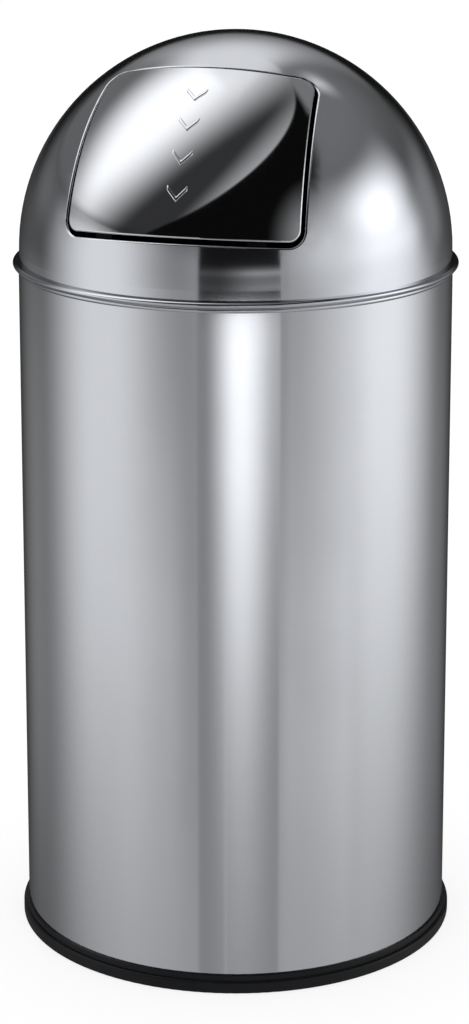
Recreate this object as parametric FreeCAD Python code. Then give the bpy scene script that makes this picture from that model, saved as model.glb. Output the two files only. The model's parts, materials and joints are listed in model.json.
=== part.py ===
import FreeCAD, Part

import math
import os

Vector = FreeCAD.Vector

# Push-lid waste bin: a round steel body, a half-ball lid with a spring-closed push flap,
# and a lift-out bucket. Millimetres, +Z up, flap facing -Y, origin on the floor under the axis.

# Body
body_radius = 174.0            # outside of the wall
body_sheet = 0.7
body_height = 552.0            # floor to the top of the rolled rim
rim_roll_height = 4.0
rim_roll_reach = 1.4           # how far the roll stands out from the wall

# Floor ring
ring_height = 14.5
ring_reach = 4.5               # how far the ring stands out from the wall
ring_floor = 4.0               # thickness under the body's lower edge
ring_shoulder_drop = 5.0       # from the ring's top down to its outer band
ring_lip_wall = 1.8            # thin lip above the outer band
ring_round = 1.5
ring_inner_wall = 3.0
ring_inner_height = 11.0
ring_clearance = 0.2

# Bottom plate
plate_height = 17.0            # floor to the ledge that the bucket stands on
plate_sheet = 0.8
plate_clearance = 0.2
plate_bend = 3.0
plate_panel_inset = 30.0       # from the bucket's foot in to the raised middle panel
plate_panel_rise = 4.0
plate_panel_slope = 6.0

# Lid
lid_setback = 0.5              # dome inside the body's outline
lid_sheet = 0.8
lid_seat_gap = 0.2
bead_height = 4.4
bead_reach = 4.7               # beyond the body's outline
collar_height = 8.0            # straight part between bead and dome
skirt_drop = 18.0              # below the bead
skirt_overlap = 12.0           # up inside the lid
skirt_sheet = 0.8
skirt_clearance = 0.2

# Flap outline on the dome, in degrees: elevation above the dome's centre, and swing from the front
flap_top_angle = 62.6
flap_top_corner_angle = 55.4
flap_top_corner_swing_angle = 55.0
flap_side_angle = 30.7
flap_side_swing_angle = 36.6
flap_bottom_angle = 12.75
flap_bottom_corner_angle = 11.5
flap_bottom_corner_swing_angle = 32.6

# Flap pan and the opening round it
flap_proud = 0.8               # flap face outside the dome
flap_sheet = 0.8
flap_depth = 7.0               # face to the edge of its turned-in sides
flap_corner = 10.0
flap_round = 1.4
gap_top = 1.0
gap_side = 3.2
gap_bottom = 3.8
lip_depth = 3.5                # dome face to the edge of the turned-in lip
lip_round = 1.6

# Flap hinge
hinge_margin_angle = 1.2       # degrees of axle above the flap's top corners, seen from the side
hinge_drop = 27.5              # dome wall to axle
hinge_inset = 20.7             # flap's top corner in to each bracket
rod_radius = 3.0
rod_fit = 0.05
rod_end_cover = 1.2            # cap thickness over the rod's end
cap_radius = 5.5
cap_length = 4.0
bush_running = 0.06
bush_wall = 2.0
bush_fit = 0.05
bush_flange = 1.2
bush_flange_reach = 2.0
bush_tail = 1.0
bracket_sheet = 1.5
bracket_eye = 9.5
bracket_foot = 10.0            # foot along the dome, away from the middle
bracket_foot_front = 5.0       # foot ahead of the axle
weld_gap = 0.3
lug_sheet = 1.5
lug_eye = 7.0
lug_foot = 7.0
lug_drop = 24.0                # how far the lug's seat reaches below the axle
lug_rise = 5.0                 # and above it
side_play = 0.6

# Return springs
spring_wire = 1.6
spring_turns = 4               # whole turns, besides the part turn between the legs
spring_turn_gap = 0.65
spring_clearance = 0.4         # rod to coil
spring_lid_leg = 13.0
spring_flap_leg = 27.0
spring_flap_angle = 30.0       # flap leg below level, degrees
spring_seat_gap = 0.2
peg_radius = 1.5
peg_overhang = 1.2             # past the wire that bears on it
peg_inset = 3.0                # back from the end of the leg

# Flap stops
stop_inset = 31.6              # flap's bottom corner in to each clip
clip_width = 14.0
clip_sheet = 1.4
clip_foot = 14.0
clip_gap = 0.3
buffer_radius = 4.2
buffer_edge = 1.4
buffer_neck = 1.6
buffer_barb = 2.6
buffer_barb_length = 3.0
buffer_fit = 0.1
buffer_seat_gap = 0.3
buffer_margin = 2.5            # lip to buffer, and buffer to the clip's end

# Bucket
bucket_below_rim = 24.0        # body rim to bucket rim
bucket_sheet = 0.6
bucket_draft_angle = 1.0       # taper of the wall, degrees
bucket_roll = 2.0              # radius of the rolled rim
bucket_base_lift = 9.0         # foot to the underside of the base
bucket_seat_gap = 0.2
base_flange_gap = 0.1
swage_height = 9.0
swage_reach = 1.6
swage_below_rim = 110.0
swage_above_foot = 90.0

# Bucket handle
bail_drop = 20.0               # bucket rim to the handle's pivot
bail_wire_radius = 2.0
bail_bend = 2.6
bail_room = 6.0                # handle to body wall
bail_head_radius = 3.4
bail_head_length = 2.0
bail_head_gap = 1.0
bail_pin_fit = 0.08
bail_rest_gap = 0.5
grip_radius = 4.0
grip_fit = 0.1
grip_half_angle = 20.0
ear_sheet = 1.5
ear_rise = 6.2
ear_height = 18.0
ear_bridge_half = 10.0         # half width of the raised bridge
ear_foot = 12.0
ear_gap = 0.1
ear_play = 0.8                 # ear to handle
rivet_radius = 2.0
rivet_head_radius = 3.6
rivet_head_height = 1.2
rivet_fit = 0.05
rivet_back_gap = 0.15          # inner head to the tapered wall

# Worked-out radii and heights
body_inner = body_radius - body_sheet
ring_radius = body_radius + ring_reach
plate_radius = body_inner - plate_clearance
dome_radius = body_radius - lid_setback
dome_inner = dome_radius - lid_sheet
bead_radius = body_radius + bead_reach
bead_bottom = body_height + lid_seat_gap
bead_top = bead_bottom + bead_height
dome_centre = Vector(0, 0, bead_top + collar_height)
flap_radius = dome_radius + flap_proud
flap_inner = flap_radius - flap_sheet
flap_rim = flap_radius - flap_depth
bail_radius = body_inner - bail_room - grip_radius
ear_outer = bail_radius - bail_wire_radius - ear_play
bucket_radius = ear_outer - ear_sheet - ear_rise - ear_gap
bucket_top = body_height - bucket_below_rim
bucket_foot = plate_height + bucket_seat_gap
pivot_height = bucket_top - bail_drop
draft_slope = math.tan(math.radians(bucket_draft_angle))
touch = 1e-5 * body_radius     # two measures closer than this are the same

# Window edges on the dome, each as three (elevation, swing) points
top_edge = [
    (flap_top_corner_angle, -flap_top_corner_swing_angle),
    (flap_top_angle, 0.0),
    (flap_top_corner_angle, flap_top_corner_swing_angle),
]
bottom_edge = [
    (flap_bottom_corner_angle, -flap_bottom_corner_swing_angle),
    (flap_bottom_angle, 0.0),
    (flap_bottom_corner_angle, flap_bottom_corner_swing_angle),
]
right_edge = [
    (flap_bottom_corner_angle, flap_bottom_corner_swing_angle),
    (flap_side_angle, flap_side_swing_angle),
    (flap_top_corner_angle, flap_top_corner_swing_angle),
]
left_edge = [(elevation, -swing) for elevation, swing in right_edge]


def at(point):
    """A point of a turned profile, radius and height, on the bin's back side."""
    return Vector(0, point[0], point[1])


def on_arc(centre, radius, degrees):
    """A point (radius, height) on a small arc of a profile."""
    angle = math.radians(degrees)
    return (centre[0] + radius * math.cos(angle), centre[1] + radius * math.sin(angle))


def outline(points):
    """A closed face through points of a profile; a pair of points is an arc's middle and end."""
    edges = []
    here = at(points[0])
    for step in points[1:]:
        if isinstance(step[0], tuple):
            there = at(step[1])
            edges.append(Part.Arc(here, at(step[0]), there).toShape())
        else:
            there = at(step)
            edges.append(Part.LineSegment(here, there).toShape())
        here = there
    edges.append(Part.LineSegment(here, at(points[0])).toShape())
    return Part.Face(Part.Wire(edges))


def turned(points):
    """A solid of revolution about the bin's axis."""
    return outline(points).revolve(Vector(0, 0, 0), Vector(0, 0, 1), 360)


def mirrored(shape):
    """The same piece on the other side of the bin."""
    return shape.mirror(Vector(0, 0, 0), Vector(1, 0, 0))


def along_x(radius, start, end, centre):
    """A round bar along X through centre."""
    return Part.makeCylinder(radius, end - start, Vector(start, centre.y, centre.z), Vector(1, 0, 0))


def on_sphere(radius, elevation, swing):
    """A direction from the dome's centre, times a radius."""
    up = math.radians(elevation)
    side = math.radians(swing)
    level = radius * math.cos(up)
    return Vector(level * math.sin(side), -level * math.cos(side), radius * math.sin(up))


hinge_half_span = on_sphere(dome_radius, flap_top_corner_angle, flap_top_corner_swing_angle).x - hinge_inset
stop_spread = on_sphere(dome_radius, flap_bottom_corner_angle, flap_bottom_corner_swing_angle).x - stop_inset


def ball(radius):
    return Part.makeSphere(radius, dome_centre)


def shell(inner, outer):
    """A hollow ball about the dome's centre."""
    return ball(outer).cut(ball(inner))


def edge_cone(edge):
    """Axis and half angle of the cone from the dome's centre through an edge of the window."""
    first, middle, last = [on_sphere(1.0, elevation, swing) for elevation, swing in edge]
    axis = (middle - first).cross(last - first).normalize()
    if axis.dot(first) < 0:
        axis = axis.negative()
    return axis, axis.getAngle(first)


def trim_to_edge(block, edge, grow, reach):
    """Keep the window's side of an edge, moved out by grow along the dome."""
    axis, half_angle = edge_cone(edge)
    window_middle = on_sphere(1.0, flap_side_angle, 0.0)
    keeps_inside = axis.getAngle(window_middle) < half_angle
    half_angle += grow / dome_radius if keeps_inside else -grow / dome_radius
    if half_angle > math.pi / 2:
        axis = axis.negative()
        half_angle = math.pi - half_angle
        keeps_inside = not keeps_inside
    cone = Part.makeCone(0, reach * math.tan(half_angle), reach, dome_centre, axis)
    return block.common(cone) if keeps_inside else block.cut(cone)


def edges_at(solid, radius):
    """Edges that lie on the front of a ball about the dome's centre."""
    found = []
    for edge in solid.Edges:
        span = edge.LastParameter - edge.FirstParameter
        points = [edge.valueAt(edge.FirstParameter + share * span) for share in (0.0, 0.3, 0.7, 1.0)]
        if all(abs(point.distanceToPoint(dome_centre) - radius) < touch and point.y < 0 for point in points):
            found.append(edge)
    return found


def window(inner, outer, grow_top, grow_side, grow_bottom, corner):
    """A block cut square to the dome along the flap's outline, with rounded corners."""
    reach = 2 * outer
    front = Part.makeBox(2 * reach, reach, 2 * reach, dome_centre - Vector(reach, reach, reach))
    block = shell(inner, outer).common(front)
    grows = [
        (top_edge, grow_top),
        (left_edge, grow_side),
        (right_edge, grow_side),
        (bottom_edge, grow_bottom),
    ]
    for edge, grow in grows:
        block = trim_to_edge(block, edge, grow, reach)
    block = block.Solids[0]
    corners = [edge for edge in block.Edges if abs(edge.Length - (outer - inner)) < touch]
    return block.makeFillet(corner, corners).Solids[0]


def rounded_window(inner, outer, shrink, corner, rounding):
    """A window block whose outer edge is rounded over."""
    block = window(inner, outer, -shrink, -shrink, -shrink, corner)
    return block.makeFillet(rounding, edges_at(block, outer)).Solids[0]


def hinge_axis():
    """A point of the flap's axle in the middle of the bin."""
    up = math.tan(math.radians(flap_top_corner_angle))
    ahead = math.cos(math.radians(flap_top_corner_swing_angle))
    angle = math.atan2(up, ahead) + math.radians(hinge_margin_angle)
    reach = dome_inner - hinge_drop
    return dome_centre + Vector(0, -reach * math.cos(angle), reach * math.sin(angle))


axle = hinge_axis()
bracket_inside = hinge_half_span - bracket_sheet / 2
bracket_outside = hinge_half_span + bracket_sheet / 2
bush_radius = rod_radius + bush_running + bush_wall
bush_inside = bracket_inside - bush_flange
cap_start = bracket_outside + bush_tail + side_play / 2
rod_end = cap_start + cap_length - rod_end_cover
spring_radius = rod_radius + spring_clearance + spring_wire / 2
spring_pitch = spring_wire + spring_turn_gap
spring_quarters = 4 * spring_turns - 1
spring_length = spring_pitch * (spring_quarters + spring_flap_angle / 90) / 4
spring_start = bush_inside - side_play - spring_wire / 2
spring_end = spring_start - spring_length
lug_outside = spring_end - spring_wire / 2 - side_play
lug_inside = lug_outside - lug_sheet


def body_shell():
    roll_bottom = body_height - rim_roll_height
    roll_middle = (body_radius + rim_roll_reach, body_height - rim_roll_height / 2)
    return turned([
        (body_inner, ring_floor),
        (body_radius, ring_floor),
        (body_radius, roll_bottom),
        (roll_middle, (body_radius, body_height)),
        (body_inner, body_height),
    ])


def base_ring():
    slot_outer = body_radius + ring_clearance
    slot_inner = plate_radius - plate_sheet - ring_clearance
    lip_outer = slot_outer + ring_lip_wall
    shoulder = ring_height - ring_shoulder_drop
    inner = slot_inner - ring_inner_wall
    foot_centre = (ring_radius - ring_round, ring_round)
    band_centre = (ring_radius - ring_round, shoulder - ring_round)
    lip_round = ring_lip_wall / 2
    lip_centre = (lip_outer - lip_round, ring_height - lip_round)
    return turned([
        (inner, 0.0),
        (ring_radius - ring_round, 0.0),
        (on_arc(foot_centre, ring_round, -45), (ring_radius, ring_round)),
        (ring_radius, shoulder - ring_round),
        (on_arc(band_centre, ring_round, 45), (ring_radius - ring_round, shoulder)),
        (lip_outer, shoulder),
        (lip_outer, ring_height - lip_round),
        (on_arc(lip_centre, lip_round, 45), (lip_outer - lip_round, ring_height)),
        (slot_outer, ring_height),
        (slot_outer, ring_floor),
        (slot_inner, ring_floor),
        (slot_inner, ring_inner_height),
        (inner, ring_inner_height),
    ])


def bucket_wall_radius(height):
    """Outside of the bucket's tapered wall."""
    return bucket_radius - (pivot_height - height) * draft_slope


def base_plate():
    panel = bucket_wall_radius(bucket_foot) - plate_panel_inset
    panel_top = plate_height + plate_panel_rise
    bend_inner = plate_bend - plate_sheet
    bend_centre = (plate_radius - plate_bend, plate_height - plate_bend)
    return turned([
        (plate_radius, ring_floor),
        (plate_radius, plate_height - plate_bend),
        (on_arc(bend_centre, plate_bend, 45), (plate_radius - plate_bend, plate_height)),
        (panel, plate_height),
        (panel - plate_panel_slope, panel_top),
        (0.0, panel_top),
        (0.0, panel_top - plate_sheet),
        (panel - plate_panel_slope, panel_top - plate_sheet),
        (panel, plate_height - plate_sheet),
        (plate_radius - plate_bend, plate_height - plate_sheet),
        (on_arc(bend_centre, bend_inner, 45), (plate_radius - plate_sheet, plate_height - plate_bend)),
        (plate_radius - plate_sheet, ring_floor),
    ])


def dome_lid():
    bead_round = bead_height / 2
    bead_edge = bead_radius - bead_round
    middle_height = bead_bottom + bead_round
    springing = dome_centre.z
    centre = (0.0, springing)
    outside = turned([
        (0.0, bead_bottom),
        (bead_edge, bead_bottom),
        ((bead_radius, middle_height), (bead_edge, bead_top)),
        (dome_radius, bead_top),
        (dome_radius, springing),
        (on_arc(centre, dome_radius, 45), (0.0, springing + dome_radius)),
    ])
    hollow = turned([
        (0.0, bead_bottom - bead_height),
        (dome_inner, bead_bottom - bead_height),
        (dome_inner, springing),
        (on_arc(centre, dome_inner, 45), (0.0, springing + dome_inner)),
    ])
    beyond = dome_radius + bead_reach
    within = dome_radius / 2
    opening_corner = flap_corner + gap_side
    opening = window(within, beyond, gap_top, gap_side, gap_bottom, opening_corner)
    outside = outside.cut(opening)
    outside = outside.makeFillet(lip_round, edges_at(outside, dome_radius))
    lip_back = window(
        within,
        beyond,
        gap_top + lid_sheet,
        gap_side + lid_sheet,
        gap_bottom + lid_sheet,
        opening_corner + lid_sheet,
    )
    hollow = hollow.cut(lip_back)
    hollow = hollow.makeFillet(lip_round - lid_sheet, edges_at(hollow, dome_inner))
    lip_limit = ball(dome_radius - lip_depth)
    return outside.cut(hollow).cut(lip_limit.common(lip_back)).Solids[0]


def lid_skirt():
    outer = dome_inner - skirt_clearance
    return turned([
        (outer - skirt_sheet, bead_bottom - skirt_drop),
        (outer, bead_bottom - skirt_drop),
        (outer, bead_top + skirt_overlap),
        (outer - skirt_sheet, bead_top + skirt_overlap),
    ])


def flap_panel():
    block = rounded_window(flap_rim, flap_radius, 0.0, flap_corner, flap_round)
    inside = rounded_window(
        flap_rim - flap_depth,
        flap_inner,
        flap_sheet,
        flap_corner - flap_sheet,
        flap_round - flap_sheet,
    )
    return block.cut(inside).Solids[0]


def hinge_bracket():
    """The bracket at +X: a plate with an eye, a foot along the dome and a peg for the spring."""
    seat = dome_inner - weld_gap
    height = dome_radius
    back = axle.y + bracket_eye
    corner = Vector(bracket_inside, axle.y - bracket_eye, axle.z)
    plate = Part.makeBox(bracket_sheet, 2 * bracket_eye, height, corner)
    plate = plate.fuse(along_x(bracket_eye, bracket_inside, bracket_outside, axle))
    foot_front = axle.y - bracket_foot_front
    foot_corner = Vector(bracket_inside, foot_front, axle.z)
    foot = Part.makeBox(bracket_sheet + bracket_foot, back - foot_front, height, foot_corner)
    foot = foot.common(shell(seat - bracket_sheet, seat))
    peg = along_x(peg_radius, spring_start - peg_overhang, bracket_inside, lid_peg_centre())
    hole = along_x(bush_radius + bush_fit, bracket_inside, bracket_outside, axle)
    return plate.common(ball(seat)).fuse([foot, peg]).cut(hole).removeSplitter().Solids[0]


def hinge_bush():
    flange = along_x(bush_radius + bush_flange_reach, bush_inside, bracket_inside, axle)
    barrel = along_x(bush_radius, bush_inside, bracket_outside + bush_tail, axle)
    bore = along_x(rod_radius + bush_running, bush_inside, bracket_outside + bush_tail, axle)
    return flange.fuse(barrel).cut(bore).removeSplitter().Solids[0]


def hinge_rod():
    return along_x(rod_radius, -rod_end, rod_end, axle)


def rod_cap():
    cap = along_x(cap_radius, cap_start, cap_start + cap_length, axle)
    outer_edge = [edge for edge in cap.Edges if abs(edge.CenterOfMass.x - cap_start - cap_length) < touch]
    cap = cap.makeFillet(rod_end_cover, outer_edge)
    return cap.cut(along_x(rod_radius + rod_fit, cap_start, rod_end, axle)).Solids[0]


def leg_directions():
    """The flap leg's direction and the square to it towards the peg, ahead of and above the axle."""
    angle = math.radians(spring_flap_angle)
    along = Vector(0, -math.cos(angle), -math.sin(angle))
    square = Vector(0, -math.sin(angle), math.cos(angle))
    return along, square


def lid_peg_centre():
    ahead = spring_radius + spring_wire / 2 + spring_seat_gap + peg_radius
    return axle + Vector(0, -ahead, spring_lid_leg - peg_inset)


def flap_peg_centre():
    along, square = leg_directions()
    off = spring_radius + spring_wire / 2 + spring_seat_gap + peg_radius
    return axle + along * (spring_flap_leg - peg_inset) + square * off


def flap_lug():
    """The arm at +X from the flap's back to the axle, with a foot on the flap and a peg for the spring."""
    seat = flap_inner - weld_gap
    far = flap_radius
    side = [
        Vector(lug_inside, axle.y, axle.z + lug_eye),
        Vector(lug_inside, -far, axle.z + lug_rise),
        Vector(lug_inside, -far, axle.z - lug_drop),
        Vector(lug_inside, axle.y, axle.z - lug_eye),
    ]
    arm = Part.Face(Part.makePolygon(side + side[:1])).extrude(Vector(lug_sheet, 0, 0))
    eye = along_x(lug_eye, lug_inside, lug_outside, axle)
    foot_corner = Vector(lug_inside - lug_foot, -far, axle.z - lug_drop)
    foot = Part.makeBox(lug_foot + lug_sheet, far + axle.y, lug_rise + lug_drop, foot_corner)
    foot = foot.common(shell(seat - lug_sheet, seat))
    arm = arm.fuse(eye).common(ball(seat))
    peg = along_x(peg_radius, lug_outside, spring_end + peg_overhang, flap_peg_centre())
    hole = along_x(rod_radius + rod_fit, lug_inside, lug_outside, axle)
    return arm.fuse([foot, peg]).cut(hole).removeSplitter().Solids[0]


def biarc(start, start_way, end, end_way):
    """Two arcs that leave start and reach end in the given directions."""
    chord = end - start
    both = start_way + end_way
    bend = 2 * (1 - start_way.dot(end_way))
    reach = chord.dot(both)
    handle = (math.sqrt(reach * reach + bend * chord.dot(chord)) - reach) / bend
    first_knee = start + start_way * handle
    last_knee = end - end_way * handle
    joint = (first_knee + last_knee) * 0.5
    return [knee_arc(start, first_knee, joint), knee_arc(joint, last_knee, end)]


def knee_arc(start, knee, end):
    """The arc from start to end that touches both lines to the knee."""
    middle = (start + end) * 0.5
    half = start.distanceToPoint(end) / 2
    turn = math.acos(half / start.distanceToPoint(knee))
    rise = (knee - middle).normalize() * (half * math.tan(turn / 2))
    return Part.Arc(start, middle + rise, end).toShape()


def coil_point(turned_degrees):
    """A point and direction on the coil at +X, from the front of the axle, over the back, to the flap leg."""
    angle = math.radians(turned_degrees)
    spot = axle + Vector(
        spring_start - spring_pitch * turned_degrees / 360,
        -spring_radius * math.cos(angle),
        -spring_radius * math.sin(angle),
    )
    rise = spring_pitch / (2 * math.pi)
    way = Vector(-rise, spring_radius * math.sin(angle), -spring_radius * math.cos(angle)).normalize()
    return spot, way


def squared(spot_and_way):
    """An end of the coil, turned square to the axle so that its leg runs clear of the sides."""
    spot, way = spot_and_way
    return spot, Vector(0, way.y, way.z).normalize()


def return_spring():
    """The torsion spring at +X, one tube: lid leg, coil and flap leg."""
    stops = [90.0 * quarter for quarter in range(spring_quarters + 1)]
    stops.append(90.0 * spring_quarters + spring_flap_angle)
    spots = [coil_point(stop) for stop in stops]
    first, first_way = squared(spots[0])
    last, last_way = squared(spots[-1])
    spots[0] = (first, first_way)
    spots[-1] = (last, last_way)
    lid_tip = first - first_way * spring_lid_leg
    flap_tip = last + last_way * spring_flap_leg
    edges = [Part.LineSegment(lid_tip, first).toShape()]
    for (start, start_way), (end, end_way) in zip(spots, spots[1:]):
        edges.extend(biarc(start, start_way, end, end_way))
    edges.append(Part.LineSegment(last, flap_tip).toShape())
    path = Part.Wire(edges)
    section = Part.Wire(Part.makeCircle(spring_wire / 2, lid_tip, first_way))
    return path.makePipeShell([section], True, False), path


def least_gap(path, wire):
    """The smallest space between turns of a wound wire, measured on points along it."""
    points = path.discretize(Distance=wire / 4)
    skip = int(math.pi * spring_radius / (wire / 4))
    apart = [
        points[i].distanceToPoint(points[j])
        for i in range(len(points))
        for j in range(i + skip, len(points))
    ]
    return min(apart) - wire


def bottom_edge_angle(across):
    """Side-view elevation, in radians, of the flap's lower edge at a distance from the middle."""
    axis, half_angle = edge_cone(bottom_edge)
    tilt = math.atan2(axis.y, axis.z)
    lift = flap_radius * math.cos(half_angle)
    return tilt + math.asin(lift / math.sqrt(flap_radius ** 2 - across ** 2))


def wedge(low, high):
    """A slice the width of a stop clip between two side-view elevations."""
    reach = 2 * flap_radius
    start = Vector(stop_spread - clip_width / 2, 0, dome_centre.z)
    sides = [Vector(0, -reach * math.cos(angle), reach * math.sin(angle)) for angle in (low, high)]
    corners = [start, start + sides[0], start + sides[1], start]
    return Part.Face(Part.makePolygon(corners)).extrude(Vector(clip_width, 0, 0))


clip_face = flap_rim - clip_gap
clip_edge = bottom_edge_angle(stop_spread)
buffer_below = gap_bottom + lid_sheet + buffer_margin + buffer_radius
buffer_angle = clip_edge - buffer_below / flap_radius


def stop_clip():
    """The clip at +X: a foot on the flap's back, a web, and a tongue behind the dome's lower lip."""
    seat = flap_inner - clip_gap
    web_low = clip_edge + (flap_sheet + flap_round) / flap_rim
    web_high = web_low + clip_sheet / flap_rim
    foot = wedge(web_low, web_low + clip_foot / flap_radius).common(shell(seat - clip_sheet, seat))
    web = wedge(web_low, web_high).common(shell(clip_face - clip_sheet, seat))
    tongue_low = buffer_angle - (buffer_radius + buffer_margin) / flap_radius
    tongue = wedge(tongue_low, web_high).common(shell(clip_face - clip_sheet, clip_face))
    way = buffer_way()
    neck = Part.makeCylinder(buffer_neck + buffer_fit, flap_radius, dome_centre, way)
    return foot.fuse([web, tongue]).cut(neck).removeSplitter().Solids[0]


def buffer_way():
    """The direction of a buffer from the dome's centre."""
    level = math.sqrt(flap_radius ** 2 - stop_spread ** 2)
    spot = Vector(stop_spread, -level * math.cos(buffer_angle), level * math.sin(buffer_angle))
    return spot.normalize()


def stop_buffer():
    """The rubber buffer at +X: a domed head, a neck through the clip and a barb behind it."""
    head_start = clip_face + buffer_fit
    head_end = dome_inner - buffer_seat_gap - buffer_fit
    back = clip_face - clip_sheet - buffer_fit
    barb_end = back - buffer_barb_length
    edge_centre = (buffer_radius - buffer_edge, head_end - buffer_edge)
    face = outline([
        (0.0, barb_end),
        (buffer_neck, barb_end),
        (buffer_barb, back),
        (buffer_neck, back),
        (buffer_neck, head_start),
        (buffer_radius, head_start),
        (buffer_radius, head_end - buffer_edge),
        (on_arc(edge_centre, buffer_edge, 45), (buffer_radius - buffer_edge, head_end)),
        (0.0, head_end),
    ])
    solid = face.revolve(Vector(0, 0, 0), Vector(0, 0, 1), 360)
    turn = FreeCAD.Rotation(Vector(0, 0, 1), buffer_way())
    solid.Placement = FreeCAD.Placement(dome_centre, turn)
    return solid


def swage(middle, outward):
    """A rounded rib of the bucket wall: start, arc middle and end, on its outer or inner face."""
    inset = 0.0 if outward else bucket_sheet
    low = middle - swage_height / 2
    high = middle + swage_height / 2
    bulge = (bucket_wall_radius(middle) + swage_reach - inset, middle)
    return (bucket_wall_radius(low) - inset, low), bulge, (bucket_wall_radius(high) - inset, high)


def bucket_wall():
    roll_middle = bucket_top - bucket_roll
    wall_top = bucket_wall_radius(roll_middle)
    roll_centre = (wall_top + bucket_roll - bucket_sheet, roll_middle)
    ribs = [bucket_foot + swage_above_foot, bucket_top - swage_below_rim]
    points = [(bucket_wall_radius(bucket_foot) - bucket_sheet, bucket_foot)]
    points.append((bucket_wall_radius(bucket_foot), bucket_foot))
    for middle in ribs:
        low, bulge, high = swage(middle, True)
        points.append(low)
        points.append((bulge, high))
    under_roll = on_arc(roll_centre, bucket_roll, 225)
    points.append((wall_top, under_roll[1]))
    points.append(under_roll)
    points.append((on_arc(roll_centre, bucket_roll, 0), on_arc(roll_centre, bucket_roll, 90)))
    points.append((on_arc(roll_centre, bucket_roll, 135), on_arc(roll_centre, bucket_roll, 180)))
    for middle in reversed(ribs):
        low, bulge, high = swage(middle, False)
        points.append(high)
        points.append((bulge, low))
    wall = turned(points)
    for angle in rivet_angles():
        hole = rivet_bar(rivet_radius + rivet_fit, bucket_radius / 2, bucket_radius * 2, angle)
        wall = wall.cut([hole, mirrored(hole)])
    return wall.Solids[0]


def bucket_base():
    lift_top = bucket_foot + bucket_base_lift + bucket_sheet
    gap = bucket_sheet + base_flange_gap
    foot = bucket_wall_radius(bucket_foot) - gap
    rim = bucket_wall_radius(lift_top) - gap
    return turned([
        (foot - bucket_sheet, bucket_foot),
        (foot, bucket_foot),
        (rim, lift_top),
        (0.0, lift_top),
        (0.0, lift_top - bucket_sheet),
        (rim - bucket_sheet, lift_top - bucket_sheet),
    ])


def polar(radius, angle):
    return Vector(radius * math.cos(angle), radius * math.sin(angle), 0)


def ear_seat():
    """Outside of the bucket wall where the ear touches it, plus the ear's gap."""
    return bucket_wall_radius(pivot_height + ear_height / 2) + ear_gap


def bail_ear():
    """The ear at +X: a strap bent to the bucket wall, with a raised bridge that holds the handle's pin."""
    seat = ear_seat()
    bridge = ear_outer - ear_sheet
    bridge_angle = math.asin(ear_bridge_half / bridge)
    step_angle = bridge_angle + ear_sheet / bridge
    foot_angle = step_angle + ear_foot / seat
    outer_path = [(seat + ear_sheet, foot_angle, step_angle), (ear_outer, step_angle, -step_angle)]
    outer_path.append((seat + ear_sheet, -step_angle, -foot_angle))
    inner_path = [(seat, -foot_angle, -bridge_angle), (bridge, -bridge_angle, bridge_angle)]
    inner_path.append((seat, bridge_angle, foot_angle))
    edges = []
    last = None
    for radius, start, end in outer_path + inner_path:
        if last is not None:
            edges.append(Part.LineSegment(last, polar(radius, start)).toShape())
        arc = Part.Arc(polar(radius, start), polar(radius, (start + end) / 2), polar(radius, end))
        edges.append(arc.toShape())
        last = polar(radius, end)
    edges.append(Part.LineSegment(last, polar(seat + ear_sheet, foot_angle)).toShape())
    strap = Part.Face(Part.Wire(edges)).extrude(Vector(0, 0, ear_height))
    strap.translate(Vector(0, 0, pivot_height - ear_height / 2))
    pivot = Vector(0, 0, pivot_height)
    pin_hole = along_x(bail_wire_radius + bail_pin_fit, bridge - ear_sheet, ear_outer + ear_sheet, pivot)
    strap = strap.cut(pin_hole)
    for angle in rivet_angles():
        strap = strap.cut(rivet_bar(rivet_radius + rivet_fit, seat - ear_sheet, seat + 2 * ear_sheet, angle))
    return strap.Solids[0]


def rivet_angles():
    """Where an ear's two rivets stand round the bucket."""
    bridge = ear_outer - ear_sheet
    middle = math.asin(ear_bridge_half / bridge) + ear_sheet / bridge + ear_foot / 2 / ear_seat()
    return [middle, -middle]


def rivet_bar(radius, start, end, angle):
    """A round bar out of the bucket's side at pivot height."""
    base = polar(start, angle) + Vector(0, 0, pivot_height)
    return Part.makeCylinder(radius, end - start, base, polar(1.0, angle))


def ear_rivets():
    """Rivets for both ears: shanks through ear and wall, with a head outside and inside."""
    wall_in = bucket_wall_radius(pivot_height) - bucket_sheet
    face = ear_seat() + ear_sheet
    rivets = []
    for angle in rivet_angles():
        outer_head = rivet_bar(rivet_head_radius, face + rivet_fit, face + rivet_head_height, angle)
        outer_rim = max(outer_head.Edges, key=lambda edge: edge.CenterOfMass.x)
        outer_head = outer_head.makeFillet(rivet_head_height / 2, [outer_rim])
        head_end = wall_in - rivet_head_height
        inner_head = rivet_bar(rivet_head_radius, head_end, wall_in - rivet_back_gap, angle)
        shank = rivet_bar(rivet_radius, head_end, face + rivet_head_height / 2, angle)
        rivet = outer_head.fuse([inner_head, shank]).removeSplitter().Solids[0]
        rivets.append(rivet)
        rivets.append(mirrored(rivet))
    return Part.makeCompound(rivets)


def bail_rest_angle():
    """How far below level the handle hangs, in radians, with its grip against the bucket wall."""
    inside = bail_radius - grip_radius
    share = (bucket_radius + bail_rest_gap) / (inside * math.hypot(1.0, draft_slope))
    return math.acos(share) + math.atan(draft_slope)


def hung(shape):
    """A handle piece drawn level towards the back, let down to where it rests."""
    shape.translate(Vector(0, 0, pivot_height))
    shape.rotate(Vector(0, 0, pivot_height), Vector(1, 0, 0), -math.degrees(bail_rest_angle()))
    return shape


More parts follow.
